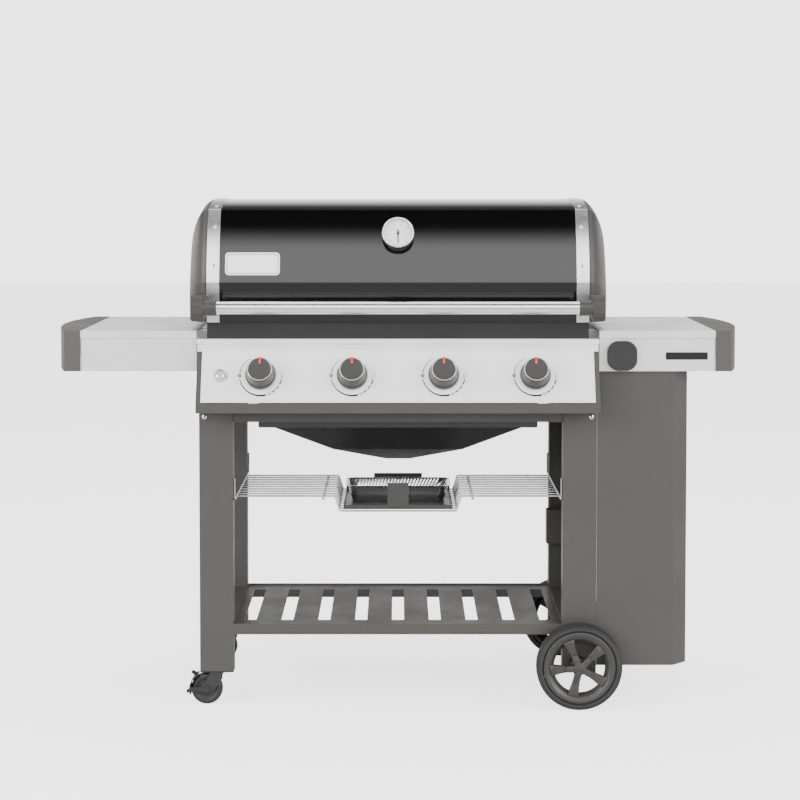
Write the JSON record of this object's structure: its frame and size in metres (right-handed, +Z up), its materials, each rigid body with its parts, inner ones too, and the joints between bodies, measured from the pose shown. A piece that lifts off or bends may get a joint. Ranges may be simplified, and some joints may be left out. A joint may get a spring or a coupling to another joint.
{
  "type": "gas barbecue grill",
  "caption": "Free-standing gas barbecue on an open cart, with a hinged lid, two side tables, a leaning control panel, a slatted shelf, and wheels and castors.",
  "frame": {"origin": "on the ground under the middle of the whole grill", "axes": "+X to the right of someone who stands at the grill, the front faces -Y, +Z up"},
  "size_m": [1.6506, 0.7, 1.208],
  "materials": {
    "cart_paint": "warm grey powder coat",
    "black_plastic": "black moulded plastic",
    "castor_steel": "black painted steel",
    "tyre_rubber": "black rubber",
    "bright_screw": "polished",
    "cast_cookbox": "black textured casting",
    "burner_steel": "stainless",
    "grate_iron": "enamelled cast iron",
    "chrome_wire": "plated wire",
    "panel_steel": "fine brushed stainless",
    "table_steel": "stainless with a fine orange-peel texture",
    "cap_plastic": "warm grey moulded plastic",
    "valve_brass": "plain",
    "bezel_chrome": "polished",
    "knob_plastic": "dark moulded plastic",
    "badge_metal": "satin with a fine border",
    "plate_black": "plain black",
    "lid_enamel": "gloss porcelain enamel",
    "trim_steel": "bright",
    "cheek_cast": "dark grey painted casting",
    "handle_steel": "satin",
    "dial_white": "white",
    "needle_black": "black",
    "gauge_glass": "clear",
    "pan_dark": "dark enamel",
    "foil": "foil",
    "tray_black": "black enamel"
  },
  "bodies": {
    "root": {"front_legs": "cart_paint", "rear_legs": "cart_paint", "leg_end_caps": "black_plastic", "cart_rails": "cart_paint", "bottom_shelf": "cart_paint", "cart_bolts": "bright_screw", "cookbox": "cast_cookbox", "burner_tubes": "burner_steel", "heat_bars": "burner_steel", "control_panel": "panel_steel", "panel_surround": "cart_paint", "gas_manifold": "valve_brass", "control_bezels": "bezel_chrome", "right_table_top": "table_steel", "left_table_top": "table_steel", "table_caps": "cap_plastic", "table_brackets": "table_steel", "sensor_module": "black_plastic", "table_plate_badge": "plate_black", "side_panel": "cart_paint", "leg_bracket_box": "cart_paint", "wheel_axle": "castor_steel", "wire_rack": "chrome_wire", "hinge_pins": "castor_steel"},
    "left_grate": {"left_grate": "grate_iron"},
    "right_grate": {"right_grate": "grate_iron"},
    "warming_rack": {"warming_rack": "chrome_wire"},
    "far_left_stem": {"far_left_stem": "valve_brass"},
    "far_left_knob": {"far_left_knob": "knob_plastic"},
    "middle_left_stem": {"middle_left_stem": "valve_brass"},
    "middle_left_knob": {"middle_left_knob": "knob_plastic"},
    "middle_right_stem": {"middle_right_stem": "valve_brass"},
    "middle_right_knob": {"middle_right_knob": "knob_plastic"},
    "far_right_stem": {"far_right_stem": "valve_brass"},
    "far_right_knob": {"far_right_knob": "knob_plastic"},
    "igniter_button": {"igniter_button": "bezel_chrome"},
    "front_wheel": {"front_wheel_tyre": "tyre_rubber", "front_wheel_hub": "black_plastic"},
    "rear_wheel": {"rear_wheel_tyre": "tyre_rubber", "rear_wheel_hub": "black_plastic"},
    "front_castor": {"front_castor_fork": "castor_steel"},
    "front_castor_wheel": {"front_castor_wheel": "black_plastic"},
    "front_castor_brake": {"front_castor_brake": "black_plastic"},
    "rear_castor": {"rear_castor_fork": "castor_steel"},
    "rear_castor_wheel": {"rear_castor_wheel": "black_plastic"},
    "rear_castor_brake": {"rear_castor_brake": "black_plastic"},
    "grease_tray": {"grease_tray": "tray_black"},
    "catch_pan": {"catch_pan": "pan_dark"},
    "foil_pan": {"foil_pan": "foil"},
    "lid": {"lid_shell": "lid_enamel", "lid_trims": "trim_steel", "lid_cheeks": "cheek_cast", "handle_brackets": "cheek_cast", "handle_tube": "handle_steel", "lid_screws": "bright_screw", "lid_badge": "badge_metal", "thermometer_case": "bezel_chrome", "thermometer_dial": "dial_white", "thermometer_glass": "gauge_glass"},
    "needle": {"thermometer_needle": "needle_black"}
  },
  "joints": [
    {"name": "left_grate_lift", "type": "slide", "parent": "root", "child": "left_grate", "axis": [0, 0, 1], "range_m": [0, 0.05]},
    {"name": "right_grate_lift", "type": "slide", "parent": "root", "child": "right_grate", "axis": [0, 0, 1], "range_m": [0, 0.05]},
    {"name": "warming_rack_lift", "type": "slide", "parent": "root", "child": "warming_rack", "axis": [0, 0, 1], "range_m": [0, 0.04]},
    {"name": "far_left_knob_turn", "type": "hinge", "parent": "root", "child": "far_left_stem", "pos_m": [-0.32175, -0.27547, 0.79449], "axis": [0, -0.9063, 0.4226], "range_deg": [0, 270]},
    {"name": "far_left_knob_push", "type": "slide", "parent": "far_left_stem", "child": "far_left_knob", "axis": [0, 0.9063, -0.4226], "range_m": [0, 0.0025], "stiffness_N_per_m": 600, "springref_m": -0.004},
    {"name": "middle_left_knob_turn", "type": "hinge", "parent": "root", "child": "middle_left_stem", "pos_m": [-0.10725, -0.27547, 0.79449], "axis": [0, -0.9063, 0.4226], "range_deg": [0, 270]},
    {"name": "middle_left_knob_push", "type": "slide", "parent": "middle_left_stem", "child": "middle_left_knob", "axis": [0, 0.9063, -0.4226], "range_m": [0, 0.0025], "stiffness_N_per_m": 600, "springref_m": -0.004},
    {"name": "middle_right_knob_turn", "type": "hinge", "parent": "root", "child": "middle_right_stem", "pos_m": [0.10725, -0.27547, 0.79449], "axis": [0, -0.9063, 0.4226], "range_deg": [0, 270]},
    {"name": "middle_right_knob_push", "type": "slide", "parent": "middle_right_stem", "child": "middle_right_knob", "axis": [0, 0.9063, -0.4226], "range_m": [0, 0.0025], "stiffness_N_per_m": 600, "springref_m": -0.004},
    {"name": "far_right_knob_turn", "type": "hinge", "parent": "root", "child": "far_right_stem", "pos_m": [0.32175, -0.27547, 0.79449], "axis": [0, -0.9063, 0.4226], "range_deg": [0, 270]},
    {"name": "far_right_knob_push", "type": "slide", "parent": "far_right_stem", "child": "far_right_knob", "axis": [0, 0.9063, -0.4226], "range_m": [0, 0.0025], "stiffness_N_per_m": 600, "springref_m": -0.004},
    {"name": "igniter_press", "type": "slide", "parent": "root", "child": "igniter_button", "axis": [0, 0.9063, -0.4226], "range_m": [0, 0.0035], "stiffness_N_per_m": 300, "springref_m": -0.004},
    {"name": "front_wheel_roll", "type": "hinge", "parent": "root", "child": "front_wheel", "pos_m": [0.429, -0.257, 0.1016], "axis": [0, 1, 0], "continuous": true},
    {"name": "rear_wheel_roll", "type": "hinge", "parent": "root", "child": "rear_wheel", "pos_m": [0.429, 0.293, 0.1016], "axis": [0, 1, 0], "continuous": true},
    {"name": "front_castor_swivel", "type": "hinge", "parent": "root", "child": "front_castor", "pos_m": [-0.432, -0.204, 0.08], "axis": [0, 0, 1], "continuous": true},
    {"name": "front_castor_roll", "type": "hinge", "parent": "front_castor", "child": "front_castor_wheel", "pos_m": [-0.457, -0.204, 0.0375], "axis": [0, 1, 0], "continuous": true},
    {"name": "front_castor_lock", "type": "hinge", "parent": "front_castor", "child": "front_castor_brake", "pos_m": [-0.457, -0.204, 0.0375], "axis": [0, -1, 0], "range_deg": [0, 12]},
    {"name": "rear_castor_swivel", "type": "hinge", "parent": "root", "child": "rear_castor", "pos_m": [-0.432, 0.24, 0.08], "axis": [0, 0, 1], "continuous": true},
    {"name": "rear_castor_roll", "type": "hinge", "parent": "rear_castor", "child": "rear_castor_wheel", "pos_m": [-0.457, 0.24, 0.0375], "axis": [0, 1, 0], "continuous": true},
    {"name": "rear_castor_lock", "type": "hinge", "parent": "rear_castor", "child": "rear_castor_brake", "pos_m": [-0.457, 0.24, 0.0375], "axis": [0, -1, 0], "range_deg": [0, 12]},
    {"name": "grease_tray_slide", "type": "slide", "parent": "root", "child": "grease_tray", "axis": [0, -1, 0], "range_m": [0, 0.3]},
    {"name": "catch_pan_lift", "type": "slide", "parent": "root", "child": "catch_pan", "axis": [0, 0, 1], "range_m": [0, 0.035]},
    {"name": "foil_pan_lift", "type": "slide", "parent": "catch_pan", "child": "foil_pan", "axis": [0, 0, 1], "range_m": [0, 0.04]},
    {"name": "lid_hinge", "type": "hinge", "parent": "root", "child": "lid", "pos_m": [0, 0.312, 0.903], "axis": [-1, 0, 0], "range_deg": [0, 75]},
    {"name": "needle_turn", "type": "hinge", "parent": "lid", "child": "needle", "pos_m": [0, -0.22918, 1.11769], "axis": [0, 0.924, -0.3825], "range_deg": [0, 270]}
  ]
}
